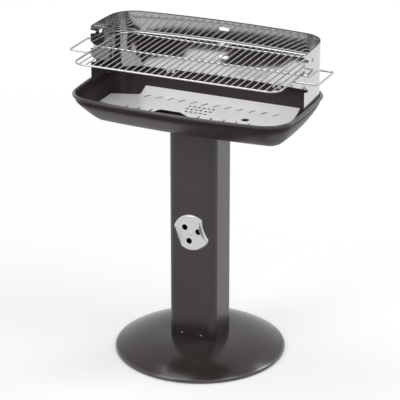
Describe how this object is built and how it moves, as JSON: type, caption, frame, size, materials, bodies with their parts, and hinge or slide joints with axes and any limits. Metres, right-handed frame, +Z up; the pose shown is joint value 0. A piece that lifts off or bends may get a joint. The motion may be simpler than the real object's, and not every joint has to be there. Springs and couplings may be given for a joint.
{
  "type": "charcoal pedestal barbecue",
  "caption": "Pedestal charcoal barbecue: round dished foot, sheet column with a turning air vent, drawn fire bowl, loose tray, slotted wind shield and a lift-out wire grid.",
  "frame": {"origin": "on the floor under the middle of the round foot", "axes": "+Z up, the open front towards -Y, +X to the right of someone who looks at the back from the front"},
  "size_m": [0.683, 0.45, 0.857],
  "materials": {
    "dark_paint": "satin",
    "bright_steel": "satin",
    "chromed_wire": "polished",
    "zinc_steel": "satin"
  },
  "bodies": {
    "stand": {"base_plate": "dark_paint", "foot_bracket": "zinc_steel", "base_bolts": "zinc_steel", "base_washers": "zinc_steel", "base_nuts": "zinc_steel", "column": "dark_paint", "column_seam_rivets": "dark_paint", "column_foot_screws": "zinc_steel", "vent_rivet": "zinc_steel", "vent_spring_washer": "zinc_steel", "column_head_bracket": "zinc_steel", "bowl_bolts": "zinc_steel", "bowl_washers": "zinc_steel", "bowl_nut_washers": "zinc_steel", "bowl_nuts": "zinc_steel", "fire_bowl": "dark_paint", "wind_shield": "bright_steel", "shield_screws": "zinc_steel", "shield_nuts": "zinc_steel"},
    "vent": {"vent_disc": "bright_steel"},
    "tray": {"charcoal_tray": "bright_steel"},
    "cooking_grid": {"grid_frame": "chromed_wire", "grid_wires": "chromed_wire", "grid_carrying_rod": "chromed_wire", "grid_rear_rod": "chromed_wire", "grid_rear_hook": "chromed_wire"}
  },
  "joints": [
    {"name": "vent_turn", "type": "hinge", "parent": "stand", "child": "vent", "pos_m": [0, -0.0604, 0.347], "axis": [0, 1, 0], "continuous": true},
    {"name": "tray_lift", "type": "slide", "parent": "stand", "child": "tray", "axis": [0, 0, 1], "range_m": [0, 0.1]},
    {"name": "grid_pull_out", "type": "slide", "parent": "stand", "child": "cooking_grid", "axis": [0, -0.9781, 0.2083], "range_m": [0, 0.15]}
  ]
}
